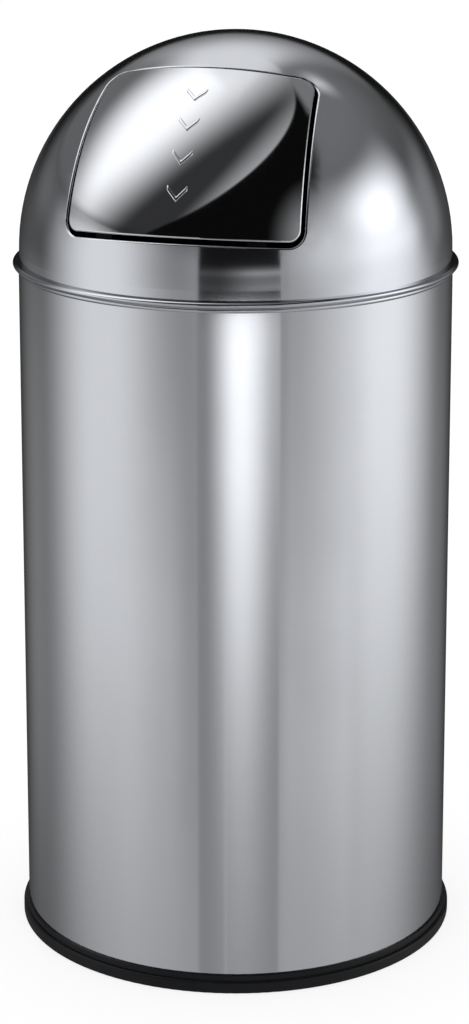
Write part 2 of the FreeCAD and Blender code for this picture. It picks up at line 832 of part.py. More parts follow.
def bail_wire():
    pin_end = ear_seat() + bail_head_gap
    bow_angle = math.asin(bail_bend / (bail_radius - bail_bend))
    knee_x = (bail_radius - bail_bend) * math.cos(bow_angle)
    knee = Vector(knee_x, bail_bend, 0)
    bow_start = polar(bail_radius, bow_angle)
    half = math.pi / 4 - bow_angle / 2
    knee_middle = knee + Vector(math.sin(half), -math.cos(half), 0) * bail_bend
    edges = []
    tip = Vector(pin_end, 0, 0)
    foot = Vector(knee_x, 0, 0)
    edges.append(Part.LineSegment(tip, foot).toShape())
    edges.append(Part.Arc(foot, knee_middle, bow_start).toShape())
    bow_end = Vector(-bow_start.x, bow_start.y, 0)
    edges.append(Part.Arc(bow_start, Vector(0, bail_radius, 0), bow_end).toShape())
    edges.append(Part.Arc(bow_end, Vector(-knee_middle.x, knee_middle.y, 0), Vector(-knee_x, 0, 0)).toShape())
    edges.append(Part.LineSegment(Vector(-knee_x, 0, 0), Vector(-pin_end, 0, 0)).toShape())
    section = Part.Wire(Part.makeCircle(bail_wire_radius, tip, Vector(1, 0, 0)))
    wire = Part.Wire(edges).makePipeShell([section], True, False)
    head = along_x(bail_head_radius, pin_end, pin_end + bail_head_length, Vector(0, 0, 0))
    return hung(wire.fuse([head, mirrored(head)]).Solids[0])


def bail_grip():
    sweep = math.radians(grip_half_angle)
    start = polar(bail_radius, math.pi / 2 - sweep)
    end = polar(bail_radius, math.pi / 2 + sweep)
    path = Part.Wire(Part.Arc(start, Vector(0, bail_radius, 0), end).toShape())
    way = Vector(-start.y, start.x, 0)
    tubes = []
    for radius in (grip_radius, bail_wire_radius + grip_fit):
        section = Part.Wire(Part.makeCircle(radius, start, way))
        tubes.append(path.makePipeShell([section], True, False))
    grip = tubes[0].cut(tubes[1]).Solids[0]
    return hung(grip)


def main():
    os.makedirs("parts", exist_ok=True)
    spring, spring_path = return_spring()
    print("least gap between spring turns: %.2f mm" % least_gap(spring_path, spring_wire))
    single = {
        "body_shell": body_shell(),
        "base_ring": base_ring(),
        "base_plate": base_plate(),
        "dome_lid": dome_lid(),
        "lid_skirt": lid_skirt(),
        "flap_panel": flap_panel(),
        "hinge_rod": hinge_rod(),
        "bucket_wall": bucket_wall(),
        "bucket_base": bucket_base(),
        "ear_rivets": ear_rivets(),
        "bail_wire": bail_wire(),
        "bail_grip": bail_grip(),
    }
    paired = {
        "hinge_bracket": hinge_bracket(),
        "hinge_bush": hinge_bush(),
        "rod_cap": rod_cap(),
        "flap_lug": flap_lug(),
        "return_spring": spring,
        "stop_clip": stop_clip(),
        "stop_buffer": stop_buffer(),
        "bail_ear": bail_ear(),
    }
    for name, shape in paired.items():
        single[name + "_right"] = shape
        single[name + "_left"] = mirrored(shape)
    for name, shape in single.items():
        print(name, len(shape.Solids), "%.0f mm3" % shape.Volume, shape.isValid())
        shape.exportStep(os.path.join("parts", name + ".step"))


main()
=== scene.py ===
import json
import math
from collections import namedtuple

import bmesh
import bpy
from bpy.props import FloatProperty, FloatVectorProperty, IntProperty, PointerProperty
from mathutils import Matrix, Vector


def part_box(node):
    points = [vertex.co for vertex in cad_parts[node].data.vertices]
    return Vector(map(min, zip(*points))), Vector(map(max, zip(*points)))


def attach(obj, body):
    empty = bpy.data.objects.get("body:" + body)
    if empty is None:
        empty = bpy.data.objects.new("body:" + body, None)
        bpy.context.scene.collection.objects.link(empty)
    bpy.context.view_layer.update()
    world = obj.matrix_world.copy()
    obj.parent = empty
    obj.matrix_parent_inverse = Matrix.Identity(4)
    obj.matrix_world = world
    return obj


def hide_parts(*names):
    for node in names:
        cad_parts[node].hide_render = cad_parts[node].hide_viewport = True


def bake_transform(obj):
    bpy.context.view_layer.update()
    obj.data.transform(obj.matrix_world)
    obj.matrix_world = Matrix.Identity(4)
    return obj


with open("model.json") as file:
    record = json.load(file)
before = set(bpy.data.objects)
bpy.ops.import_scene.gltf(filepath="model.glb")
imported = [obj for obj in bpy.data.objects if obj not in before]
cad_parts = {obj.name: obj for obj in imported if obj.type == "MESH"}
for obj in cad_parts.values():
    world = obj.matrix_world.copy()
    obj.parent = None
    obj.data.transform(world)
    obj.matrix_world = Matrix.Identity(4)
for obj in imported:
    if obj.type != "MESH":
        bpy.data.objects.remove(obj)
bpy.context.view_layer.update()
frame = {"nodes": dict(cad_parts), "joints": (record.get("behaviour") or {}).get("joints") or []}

bl_info = {
    "name": "Push-lid waste bin",
    "version": (1, 0, 0),
    "blender": (4, 5, 0),
    "location": "View3D > Sidebar > Bin",
    "description": "Finishes for a push-lid steel bin, its springs and stamped marks, and a white studio",
    "category": "Object",
}

MM = 0.001
QUARTER_TURN = 0.25        # of a full turn
WHITE = (1.0, 1.0, 1.0, 1.0)
SIDES = {"left": -1.0, "right": 1.0}     # with the sign of X there

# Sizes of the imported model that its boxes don't show
LID_SETBACK = 0.5 * MM     # body's wall to the half ball
RIM_REACH = 1.4 * MM       # body's rolled rim beyond its wall
FLAP_PROUD = 0.8 * MM      # flap's face beyond the half ball

# How finely the added pieces are divided
SPRING_STEPS = 48          # in one turn of a spring
WIRE_SIDES = 16
MARK_SEGMENTS = 5          # in an arrowhead's rounded edges
MARK_CUTS = 5              # along its arms, so that they follow the flap
SHARP_EDGE = 0.5           # radians between faces, from which an edge is rounded
FLOOR_SEGMENTS = 64

# Section of the welded seam
SEAM_POINTS = (-1.0, -0.6, 0.0, 0.6, 1.0)     # across it, as shares of its half width
SEAM_FALL = 1.5            # middle to edge, as a share of its rise: the edges end inside the wall

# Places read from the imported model
body_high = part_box("body_shell")[1]
ring_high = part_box("base_ring")[1]
dome_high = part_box("dome_lid")[1]
rod_low, rod_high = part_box("hinge_rod")
hinge = next(joint for joint in frame["joints"] if joint["name"] == "flap_push")
axle = Vector(hinge["pos_m"])
rod_radius = (rod_high.z - rod_low.z) / 2
wall_radius = body_high.x - RIM_REACH         # outside of the body's wall
dome_radius = wall_radius - LID_SETBACK
dome_centre = Vector((0, 0, dome_high.z - dome_radius))


# Settings that a user would change

def length(name, description, millimetres):
    return FloatProperty(
        name=name,
        description=description,
        default=millimetres * MM,
        unit="LENGTH",
        precision=5,
    )


def angle(name, description, degrees):
    return FloatProperty(name=name, description=description, default=math.radians(degrees), subtype="ANGLE")


def count(name, description, number):
    return IntProperty(name=name, description=description, default=number, min=1)


def colour(name, description, red, green, blue):
    return FloatVectorProperty(
        name=name,
        description=description,
        default=(red, green, blue),
        subtype="COLOR",
        min=0.0,
        max=1.0,
    )


class BinSizes(bpy.types.PropertyGroup):
    spring_wire: length("Spring wire", "Diameter of the return springs' wire", 1.6)
    spring_gap: length("Spring clearance", "Axle to the inside of the coil", 0.4)
    spring_turns: count("Spring turns", "Turns of each coil, less the quarter turn between its legs", 4)
    spring_lid_leg: length("Lid leg", "Straight leg that bears on the lid's bracket", 13.0)
    spring_flap_leg: length("Flap leg", "Straight leg that bears on the flap's arm", 27.0)
    spring_flap_drop: angle("Flap leg angle", "Flap leg below level", 30.0)
    mark_count: count("Marks", "Stamped arrowheads down the flap", 4)
    mark_top: angle("First mark", "Height of the first mark on the dome, as an elevation", 52.0)
    mark_step: angle("Mark spacing", "Elevation between marks", 9.4)
    mark_width: length("Mark width", "Across an arrowhead", 16.0)
    mark_drop: length("Mark drop", "Arm ends to the point of an arrowhead", 9.0)
    mark_stroke: length("Mark stroke", "Width of an arrowhead's arms, measured upright", 4.2)
    mark_rise: length("Mark rise", "Height of an arrowhead above the flap", 0.8)
    mark_sink: length("Mark sink", "Foot of an arrowhead inside the flap's sheet", 0.3)
    mark_round: length("Mark rounding", "Rounding of an arrowhead's upper edges", 1.0)
    seam_width: length("Seam width", "Width of the body's welded seam", 1.6)
    seam_rise: length("Seam rise", "Height of the seam above the wall", 0.12)
    seam_stop: length("Seam stop", "Top of the seam below the body's upper edge", 4.0)


class BinFinishes(bpy.types.PropertyGroup):
    satin_steel: colour("Body steel", "Satin sheet of the body", 0.59, 0.604, 0.634)
    bright_steel: colour("Lid steel", "Bright sheet of the lid", 0.615, 0.632, 0.668)
    polished_steel: colour("Flap steel", "Polished flap", 0.705, 0.72, 0.75)
    mill_steel: colour("Mill steel", "Inner sheet pieces", 0.49, 0.50, 0.52)
    ground_steel: colour("Axle steel", "Ground bar", 0.58, 0.58, 0.60)
    spring_steel: colour("Spring steel", "Drawn wire", 0.30, 0.29, 0.28)
    zinc: colour("Zinc", "Galvanised bucket", 0.50, 0.52, 0.54)
    # painted shade: the stop clips are near-black so that the gap round the flap reads as shade
    black_steel: colour("Clip shade black", "Stop clips, near-black as painted shade", 0.004, 0.004, 0.004)
    moulded_black: colour("Black plastic", "Floor ring, caps and grip", 0.006, 0.0065, 0.0075)
    nylon: colour("Nylon", "Hinge bushes", 0.80, 0.78, 0.72)
    rubber: colour("Rubber", "Flap buffers", 0.022, 0.022, 0.022)


class BinStudio(bpy.types.PropertyGroup):
    camera_swing: angle("Camera swing", "Camera round the bin from its front", 16.1)
    camera_distance: length("Camera distance", "Bin's axis to the camera, level", 2302.0)
    camera_height: length("Camera height", "Floor to the camera", 1019.0)
    camera_pitch: angle("Camera pitch", "Camera's downward tilt", 13.42)
    camera_sensor: FloatProperty(
        name="Frame",
        description="Long side of the frame that the lens is given for",
        default=36.0,
        subtype="DISTANCE_CAMERA",
    )
    camera_lens: FloatProperty(
        name="Lens",
        description="Focal length on that frame",
        default=102.76,
        subtype="DISTANCE_CAMERA",
    )
    camera_shift: FloatVectorProperty(
        name="Lens shift",
        description="Frame moved across and up, as shares of its height",
        default=(-0.0012, -0.147),
        size=2,
    )
    floor_radius: length("Floor radius", "Radius of the pale floor", 40000.0)


# Node helpers

def add_node(tree, kind, **settings):
    """A new node with its settings."""
    node = tree.nodes.new(kind)
    for name, value in settings.items():
        setattr(node, name, value)
    return node


def feed(tree, socket, value):
    """Link an output into a socket, or write a plain value there."""
    if isinstance(value, bpy.types.NodeSocket):
        tree.links.new(value, socket)
    else:
        socket.default_value = value


def calc(tree, operation, *values):
    """The result of a Math node."""
    node = add_node(tree, "ShaderNodeMath", operation=operation)
    for socket, value in zip(node.inputs, values):
        feed(tree, socket, value)
    return node.outputs[0]


def spread(tree, value, low, high, start=0.0, end=1.0, smooth=False):
    """A value mapped from start and end to low and high."""
    node = add_node(tree, "ShaderNodeMapRange", interpolation_type="SMOOTHSTEP" if smooth else "LINEAR")
    values = {"Value": value, "From Min": start, "From Max": end, "To Min": low, "To Max": high}
    for name, given in values.items():
        feed(tree, node.inputs[name], given)
    return node.outputs["Result"]


# A Mix node's sockets share their names, so they are picked by place: two inputs and the output
MIX_VALUES = (2, 3, 0)
MIX_COLOURS = (6, 7, 2)


def mixed(tree, kind, places, mask, first, second):
    """Two inputs of a Mix node, blended by a mask."""
    node = add_node(tree, "ShaderNodeMix", data_type=kind)
    first_place, second_place, result_place = places
    feed(tree, node.inputs["Factor"], mask)
    feed(tree, node.inputs[first_place], first)
    feed(tree, node.inputs[second_place], second)
    return node.outputs[result_place]


def between(tree, mask, first, second):
    """Plain values mixed by a mask."""
    return mixed(tree, "FLOAT", MIX_VALUES, mask, first, second)


def tinted(tree, mask, first, second):
    """Colours mixed by a mask."""
    return mixed(tree, "RGBA", MIX_COLOURS, mask, (*first, 1.0), (*second, 1.0))


def shade(base, share):
    """A colour made lighter or darker by a share."""
    return tuple(min(1.0, part * share) for part in base)


def new_group(name, inputs, outputs):
    """An empty node group with float or vector inputs and float outputs."""
    tree = bpy.data.node_groups.new(name, "ShaderNodeTree")
    for label, default in inputs:
        kind = "NodeSocketVector" if isinstance(default, tuple) else "NodeSocketFloat"
        tree.interface.new_socket(label, in_out="INPUT", socket_type=kind).default_value = default
    for label in outputs:
        tree.interface.new_socket(label, in_out="OUTPUT", socket_type="NodeSocketFloat")
    given = tree.nodes.new("NodeGroupInput").outputs
    result = tree.nodes.new("NodeGroupOutput").inputs
    return tree, given, result


def use_group(tree, group, output, **values):
    """One output of a node group that is placed with its own values."""
    node = add_node(tree, "ShaderNodeGroup", node_tree=group)
    for name, value in values.items():
        feed(tree, node.inputs[name], value)
    return node.outputs[output]


def noise(tree, stretch, detail):
    """Noise on object coordinates, stretched along the axes."""
    place = add_node(tree, "ShaderNodeTexCoord")
    mapping = add_node(tree, "ShaderNodeMapping")
    tree.links.new(place.outputs["Object"], mapping.inputs["Vector"])
    feed(tree, mapping.inputs["Scale"], stretch)
    texture = add_node(tree, "ShaderNodeTexNoise")
    texture.inputs["Scale"].default_value = 1.0
    texture.inputs["Detail"].default_value = detail
    tree.links.new(mapping.outputs["Vector"], texture.inputs["Vector"])
    return texture.outputs[0]


def even(tree, size):
    """One scale for all three axes."""
    node = add_node(tree, "ShaderNodeCombineXYZ")
    for socket in node.inputs:
        feed(tree, socket, size)
    return node.outputs[0]


# Shared surface effects

PATCH_EDGES = (0.38, 0.68)     # noise at which a patch of handling starts and is full


def grain_group():
    """Fine lines left by rolling or brushing."""
    tree, given, result = new_group("Brushed grain", [("Stretch", (6.0, 6.0, 1400.0))], ["Lines"])
    tree.links.new(noise(tree, given["Stretch"], detail=3.0), result["Lines"])
    return tree


def handling_group():
    """Broad soft patches of wiping and handling."""
    tree, given, result = new_group("Handling", [("Scale", 9.0)], ["Patches"])
    cloud = noise(tree, even(tree, given["Scale"]), detail=4.0)
    tree.links.new(spread(tree, cloud, 0.0, 1.0, *PATCH_EDGES, smooth=True), result["Patches"])
    return tree


def stipple_group():
    """The fine texture of a mould."""
    tree, given, result = new_group("Mould texture", [("Scale", 1800.0)], ["Height"])
    tree.links.new(noise(tree, even(tree, given["Scale"]), detail=2.0), result["Height"])
    return tree


def spangle_group():
    """Crystals of hot-dip zinc."""
    tree, given, result = new_group("Zinc spangle", [("Scale", 120.0)], ["Crystal"])
    place = add_node(tree, "ShaderNodeTexCoord")
    cells = add_node(tree, "ShaderNodeTexVoronoi")
    tree.links.new(place.outputs["Object"], cells.inputs["Vector"])
    tree.links.new(given["Scale"], cells.inputs["Scale"])
    parts = add_node(tree, "ShaderNodeSeparateColor")
    tree.links.new(cells.outputs["Color"], parts.inputs["Color"])
    tree.links.new(parts.outputs[0], result["Crystal"])
    return tree


EFFECTS = {
    "grain": grain_group,
    "handling": handling_group,
    "stipple": stipple_group,
    "spangle": spangle_group,
}
built_effects = {}


def effect(name):
    """A shared effect, built the first time that it is asked for."""
    if name not in built_effects:
        built_effects[name] = EFFECTS[name]()
    return built_effects[name]


# Materials

def new_material(name, base, metallic, roughness):
    """A material with one shader and plain values on it."""
    material = bpy.data.materials.new(name)
    material.use_nodes = True
    shader = material.node_tree.nodes["Principled BSDF"]
    shader.inputs["Base Color"].default_value = (*base, 1.0)
    shader.inputs["Metallic"].default_value = metallic
    shader.inputs["Roughness"].default_value = roughness
    return material, material.node_tree, shader


def bumped(tree, shader, height, depth):
    """Relief on a surface, as deep as given in metres."""
    node = add_node(tree, "ShaderNodeBump")
    node.inputs["Distance"].default_value = depth
    feed(tree, node.inputs["Height"], height)
    tree.links.new(node.outputs["Normal"], shader.inputs["Normal"])


def sheet_metal(name, base, *, roughness, lines, relief, patches, patch_roughness, patch_shade):
    """Steel sheet: rolling lines in its roughness and relief, and broad patches of wiping.

    Lines along each axis and patches are counts in a metre, and relief is in metres.
    """
    material, tree, shader = new_material(name, base, metallic=1.0, roughness=max(roughness))
    streaks = use_group(tree, effect("grain"), "Lines", Stretch=lines)
    wiping = use_group(tree, effect("handling"), "Patches", Scale=patches)
    grained = spread(tree, streaks, *roughness)
    wiped = calc(tree, "MULTIPLY", wiping, patch_roughness)
    feed(tree, shader.inputs["Roughness"], calc(tree, "ADD", grained, wiped))
    feed(tree, shader.inputs["Base Color"], tinted(tree, wiping, base, shade(base, patch_shade)))
    bumped(tree, shader, streaks, relief)
    return material


def brushed_round(material, strength):
    """Draw highlights out across lines that run round the bin."""
    shader = material.node_tree.nodes["Principled BSDF"]
    shader.inputs["Anisotropic"].default_value = strength
    shader.inputs["Anisotropic Rotation"].default_value = QUARTER_TURN


def satin_steel(base):
    material = sheet_metal(
        "satin_steel",
        base,
        roughness=(0.10, 0.13),
        lines=(6.0, 6.0, 1400.0),
        relief=3e-6,
        patches=9.0,
        patch_roughness=0.015,
        patch_shade=0.975,
    )
    brushed_round(material, strength=0.85)
    return material


def bright_steel(base):
    material = sheet_metal(
        "bright_steel",
        base,
        roughness=(0.09, 0.12),
        lines=(9.0, 9.0, 900.0),
        relief=1e-6,
        patches=12.0,
        patch_roughness=0.02,
        patch_shade=0.97,
    )
    brushed_round(material, strength=0.35)
    return material


def polished_steel(base):
    return sheet_metal(
        "polished_steel",
        base,
        roughness=(0.03, 0.05),
        lines=(14.0, 14.0, 14.0),
        relief=1e-7,
        patches=20.0,
        patch_roughness=0.015,
        patch_shade=0.985,
    )


def mill_steel(base):
    return sheet_metal(
        "mill_steel",
        base,
        roughness=(0.34, 0.44),
        lines=(25.0, 25.0, 700.0),
        relief=8e-6,
        patches=30.0,
        patch_roughness=0.06,
        patch_shade=0.85,
    )


def ground_steel(base):
    return sheet_metal(
        "ground_steel",
        base,
        roughness=(0.14, 0.20),
        lines=(2500.0, 60.0, 60.0),
        relief=1e-6,
        patches=60.0,
        patch_roughness=0.04,
        patch_shade=0.92,
    )


def spring_steel(base):
    return sheet_metal(
        "spring_steel",
        base,
        roughness=(0.26, 0.36),
        lines=(400.0, 900.0, 900.0),
        relief=3e-6,
        patches=90.0,
        patch_roughness=0.06,
        patch_shade=0.80,
    )


# Hot-dip zinc
ZINC_CRYSTALS = 110.0          # in a metre
ZINC_PATCHES = 14.0
CRYSTAL_SHARE = 0.7            # of its tone, and patches give the rest
ZINC_SHADES = (0.78, 1.18)
ZINC_ROUGHNESS = (0.34, 0.52)
ZINC_RELIEF = 6e-6


def galvanised(base):
    """Zinc with crystals of uneven tone and gloss, and broad patches of handling."""
    material, tree, shader = new_material("galvanised", base, metallic=1.0, roughness=max(ZINC_ROUGHNESS))
    crystal = use_group(tree, effect("spangle"), "Crystal", Scale=ZINC_CRYSTALS)
    patches = use_group(tree, effect("handling"), "Patches", Scale=ZINC_PATCHES)
    tone = between(tree, CRYSTAL_SHARE, patches, crystal)
    dark, light = (shade(base, share) for share in ZINC_SHADES)
    feed(tree, shader.inputs["Base Color"], tinted(tree, tone, dark, light))
    feed(tree, shader.inputs["Roughness"], spread(tree, crystal, *ZINC_ROUGHNESS))
    bumped(tree, shader, crystal, ZINC_RELIEF)
    return material


# Wear on moulded pieces, and on the stop clips, whose near-black is painted shade
WORN_PATCHES = 26.0            # in a metre
WORN_ROUGHER = 0.1
WORN_LIGHTER = 1.35


def moulded(name, base, *, roughness, texture, relief, specular=0.5):
    """Plastic, rubber, or the stop clips' near-black painted shade, with the texture of its mould and worn,
    lighter patches.
    """
    material, tree, shader = new_material(name, base, metallic=0.0, roughness=roughness)
    shader.inputs["Specular IOR Level"].default_value = specular
    height = use_group(tree, effect("stipple"), "Height", Scale=texture)
    worn = use_group(tree, effect("handling"), "Patches", Scale=WORN_PATCHES)
    feed(tree, shader.inputs["Roughness"], spread(tree, worn, roughness, roughness + WORN_ROUGHER))
    feed(tree, shader.inputs["Base Color"], tinted(tree, worn, base, shade(base, WORN_LIGHTER)))
    bumped(tree, shader, height, relief)
    return material


# painted shade: near-black clips with little shine keep the gap round the flap dark
def black_steel(base):
    return moulded("black_steel", base, roughness=0.55, texture=700.0, relief=1e-5, specular=0.15)


def moulded_black(base):
    return moulded("moulded_black", base, roughness=0.34, texture=1500.0, relief=1.5e-5, specular=0.18)


def nylon(base):
    return moulded("nylon", base, roughness=0.42, texture=900.0, relief=1e-5)


def buffer_rubber(base):
    return moulded("buffer_rubber", base, roughness=0.62, texture=1300.0, relief=3e-5)


def dress(material, *nodes):
    """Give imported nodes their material."""
    for name in nodes:
        mesh = frame["nodes"][name].data
        mesh.materials.clear()
        mesh.materials.append(material)


def both(name):
    """The names of a pair of pieces."""
    return ["%s_%s" % (name, side) for side in SIDES]


# Meshes

def placed(name, shape, material):
    """A bmesh as an object at the origin."""
    mesh = bpy.data.meshes.new(name)
    shape.to_mesh(mesh)
    shape.free()
    mesh.materials.append(material)
    thing = bpy.data.objects.new(name, mesh)
    bpy.context.scene.collection.objects.link(thing)
    return thing


def new_piece(name, shape, material):
    """A finished piece of the bin, with its faces turned outwards."""
    bmesh.ops.recalc_face_normals(shape, faces=shape.faces)
    for face in shape.faces:
        face.smooth = True
    piece = placed(name, shape, material)
    return piece


def drawn_out(shape, edges, way):
    """Extrude a loop of edges along a vector and give the new loop."""
    made = bmesh.ops.extrude_edge_only(shape, edges=edges)["geom"]
    fresh = [item for item in made if isinstance(item, bmesh.types.BMVert)]
    bmesh.ops.translate(shape, verts=fresh, vec=way)
    made_edges = [item for item in made if isinstance(item, bmesh.types.BMEdge)]
    return [edge for edge in made_edges if all(vert in fresh for vert in edge.verts)]


def coil(sizes, low, high):
    """The return spring at +X: lid leg, coil and flap leg, one tube."""
    wire = sizes.spring_wire / 2
    radius = rod_radius + sizes.spring_gap + wire
    start_x = high.x - wire
    end_x = low.x + wire
    turn = 2 * math.pi * (sizes.spring_turns - QUARTER_TURN) + sizes.spring_flap_drop
    steps = round(SPRING_STEPS * turn / (2 * math.pi))
    start = Vector((start_x, axle.y - radius, axle.z))
    shape = bmesh.new()
    ring = bmesh.ops.create_circle(shape, cap_ends=False, radius=wire, segments=WIRE_SIDES)
    bmesh.ops.translate(shape, verts=ring["verts"], vec=start + Vector((0, 0, sizes.spring_lid_leg)))
    first_loop = list(shape.edges)
    loop = drawn_out(shape, first_loop, Vector((0, 0, -sizes.spring_lid_leg)))
    wound = bmesh.ops.spin(
        shape,
        geom=loop + list({vert for edge in loop for vert in edge.verts}),
        cent=Vector((start_x, axle.y, axle.z)),
        axis=Vector((1, 0, 0)),
        dvec=Vector(((end_x - start_x) / steps, 0, 0)),
        angle=turn,
        steps=steps,
        use_merge=False,
    )["geom_last"]
    loop = [item for item in wound if isinstance(item, bmesh.types.BMEdge)]
    drop = sizes.spring_flap_drop
    leg = Vector((0, -math.cos(drop), -math.sin(drop))) * sizes.spring_flap_leg
    last_loop = drawn_out(shape, loop, leg)
    for ends in (first_loop, last_loop):
        bmesh.ops.edgeloop_fill(shape, edges=ends)
    return shape


def mirror_across(shape):
    """The same shape on the other side of the bin."""
    bmesh.ops.transform(shape, matrix=Matrix.Scale(-1, 4, Vector((1, 0, 0))), verts=shape.verts)


def arrowhead(sizes):
    """One stamped arrowhead, flat: across X, up Y, standing off Z, with rounded upper edges."""
    mark = bmesh.new()
    half = sizes.mark_width / 2
    drop = sizes.mark_drop / 2
    stroke = sizes.mark_stroke / 2
    foot = -sizes.mark_sink
    arm = [(-half, drop), (0.0, -drop), (half, drop)]
    low = [mark.verts.new((x, y - stroke, foot)) for x, y in arm]
    high = [mark.verts.new((x, y + stroke, foot)) for x, y in arm]
    faces = [mark.faces.new((low[i], low[i + 1], high[i + 1], high[i])) for i in range(2)]
    raised = bmesh.ops.extrude_face_region(mark, geom=faces)["geom"]
    top = [item for item in raised if isinstance(item, bmesh.types.BMVert)]
    bmesh.ops.translate(mark, verts=top, vec=Vector((0, 0, sizes.mark_rise - foot)))
    mark.normal_update()
    upper = [edge for edge in mark.edges if min(vert.co.z for vert in edge.verts) > 0]
    bmesh.ops.bevel(
        mark,
        geom=[edge for edge in upper if edge.calc_face_angle(0.0) > SHARP_EDGE],
        offset=sizes.mark_round,
        offset_type="OFFSET",
        segments=MARK_SEGMENTS,
        profile=0.5,
        affect="EDGES",
        material=-1,
    )
    long_edges = [
        edge for edge in mark.edges
        if abs(edge.verts[0].co.x - edge.verts[1].co.x) > sizes.mark_stroke
    ]
    bmesh.ops.subdivide_edges(mark, edges=long_edges, cuts=MARK_CUTS, use_grid_fill=True)
    return mark


def stamped_marks(sizes):
    """Arrowheads down the middle of the flap, bent to its ball."""
    shape = bmesh.new()
    reach = dome_radius + FLAP_PROUD
    for index in range(sizes.mark_count):
        mark = arrowhead(sizes)
        elevation = sizes.mark_top - index * sizes.mark_step
        out = Vector((0, -math.cos(elevation), math.sin(elevation)))
        up = Vector((0, math.sin(elevation), math.cos(elevation)))
        for vert in mark.verts:
            across, along, rise = vert.co
            spot = out * reach + Vector((across, 0, 0)) + up * along
            vert.co = dome_centre + spot.normalized() * (reach + rise)
        part = bpy.data.meshes.new("mark")
        mark.to_mesh(part)
        mark.free()
        shape.from_mesh(part)
        bpy.data.meshes.remove(part)
    return shape


def weld_seam(sizes):
    """The body's welded seam down the back, a low rounded bead."""
    shape = bmesh.new()
    half = sizes.seam_width / 2
    bottom = ring_high.z
    top = body_high.z - sizes.seam_stop
    profile = []
    for share in SEAM_POINTS:
        rise = sizes.seam_rise * (1 - SEAM_FALL * share * share)
        profile.append(shape.verts.new((half * share, wall_radius + rise, bottom)))
    edges = [shape.edges.new(pair) for pair in zip(profile, profile[1:])]
    drawn_out(shape, edges, Vector((0, 0, top - bottom)))
    return shape


# Studio

Card = namedtuple("Card", "light azimuth elevation half_width half_height side_edge top_edge")
Disc = namedtuple("Disc", "light azimuth elevation radius edge")
Strip = namedtuple("Strip", "lights middle half edge")
View = namedtuple("View", "direction azimuth elevation swing square_group round_group")

# Panels of the light tent, each laid over the ones before it: brightness, then degrees, with azimuth
# from the camera's heading and elevation from level. An edge is half the width of an outline's fade.
LOW_CARDS = [
    Card(0.49, 5, -57, 105, 43, 42, 8),          # floor in front
    Card(0.27, 180, -17, 75, 5.5, 20, 4),        # floor further back
    Card(0.44, 15, -6.5, 45, 14.5, 20, 5),       # front wall of the tent
    Card(0.66, -46, -19, 17, 3.5, 8, 3),         # left foot of the front wall
    Card(0.74, 44, -19, 20, 3.5, 6, 3),          # right foot of the front wall
    Card(1.03, -74, -5.5, 28, 15.5, 23, 5),      # left wall
    Card(1.30, 85, -7, 28.5, 13, 25, 6.5),       # right wall
    Card(0.36, 9, -42, 14, 24, 0.4, 3),          # shaded floor in front
    Card(0.37, 24, -4, 3.5, 10, 2, 2.5),         # shaded edge of the paper
    Card(0.35, -13, -22, 7, 30, 0.4, 5),         # shaded paper in front
    Card(0.75, 10, -4, 13, 11.8, 0.4, 3),        # lit paper beside it
    Card(2.05, 3, -5.5, 10, 12.1, 10, 6.2),      # its bright middle
]
ROOM = Disc(0.004, -57, 27, 90, 2)               # dark room behind the camera
ROOM_FOOT = (11.4, 12.6)                         # elevations where its lower edge fades in
ROOM_GLOW = Disc(1.05, 50, 9, 11, 23)            # light that the right softbox spills into it
PANEL = Disc(0.50, -90, 59.2, 54, 0.6)           # overhead panel
PANEL_BACK = Card(PANEL.light, -140, 45, 55, 60, 15, 15)     # the rest of it, left and back
PANEL_FOOT = (8, 16)                             # elevations where its lower edge fades in
PANEL_SHADES = [
    Disc(0.04, -108, 41, 70.5, 8),               # its dim part
    Disc(1.45, -127, 42, 46, 17.5),              # its lit part
    Disc(0.17, -150, -5, 54, 15),                # its dim left end
]
HIGH_CARDS = [
    Card(0.98, -179, 54, 18, 20.5, 9, 22),       # back wall, upper part
    Card(0.008, 2, 8, 21, 6, 0.6, 0.6),          # the gap that the camera looks through
    Card(1.90, 86, 15, 20, 12.3, 19, 11),        # right softbox
    Card(1.25, 141, 48, 5, 2, 8, 6),             # small lamp behind it
    Card(0.18, -130, 6, 12, 5, 12, 5),           # left end of the back wall
    Card(0.28, 128, 3, 12, 10, 12, 6),           # right end of the back wall
    Card(0.05, 180, -9, 30, 17, 18, 5),          # gap at the back
    Card(0.008, 179, 8, 28, 8.5, 12, 3.5),       # dark room beyond it
]
TENT_LIGHTS = (0.11, 0.22)                       # plain walls, low down and high up
TENT_RISE = (15, 50)                             # elevations between those two
SHADOW_LIGHT = 0.62                              # what matt surfaces get from straight below
SKY_LIGHT = 1.1                                  # and from straight above


def soft_inside(tree, outside, edge):
    """One inside an outline, none outside, with a soft edge: from the distance beyond the outline."""
    return spread(tree, outside, 1.0, 0.0, calc(tree, "MULTIPLY", edge, -1.0), edge, smooth=True)


def card_group():
    """How much a direction sees of a square card."""
    inputs = [
        ("Azimuth", 0.0), ("Elevation", 0.0), ("Card azimuth", 0.0), ("Card elevation", 0.0),
        ("Half width", 10.0), ("Half height", 10.0), ("Side edge", 1.0), ("Top edge", 1.0),
    ]
    tree, given, result = new_group("Tent card", inputs, ["Mask"])
    offset = calc(tree, "SUBTRACT", given["Azimuth"], given["Card azimuth"])
    across = calc(tree, "WRAP", offset, 180.0, -180.0)
    above = calc(tree, "SUBTRACT", given["Elevation"], given["Card elevation"])
    masks = []
    for distance, half, edge in ((across, "Half width", "Side edge"), (above, "Half height", "Top edge")):
        outside = calc(tree, "SUBTRACT", calc(tree, "ABSOLUTE", distance), given[half])
        masks.append(soft_inside(tree, outside, given[edge]))
    tree.links.new(calc(tree, "MULTIPLY", *masks), result["Mask"])
    return tree


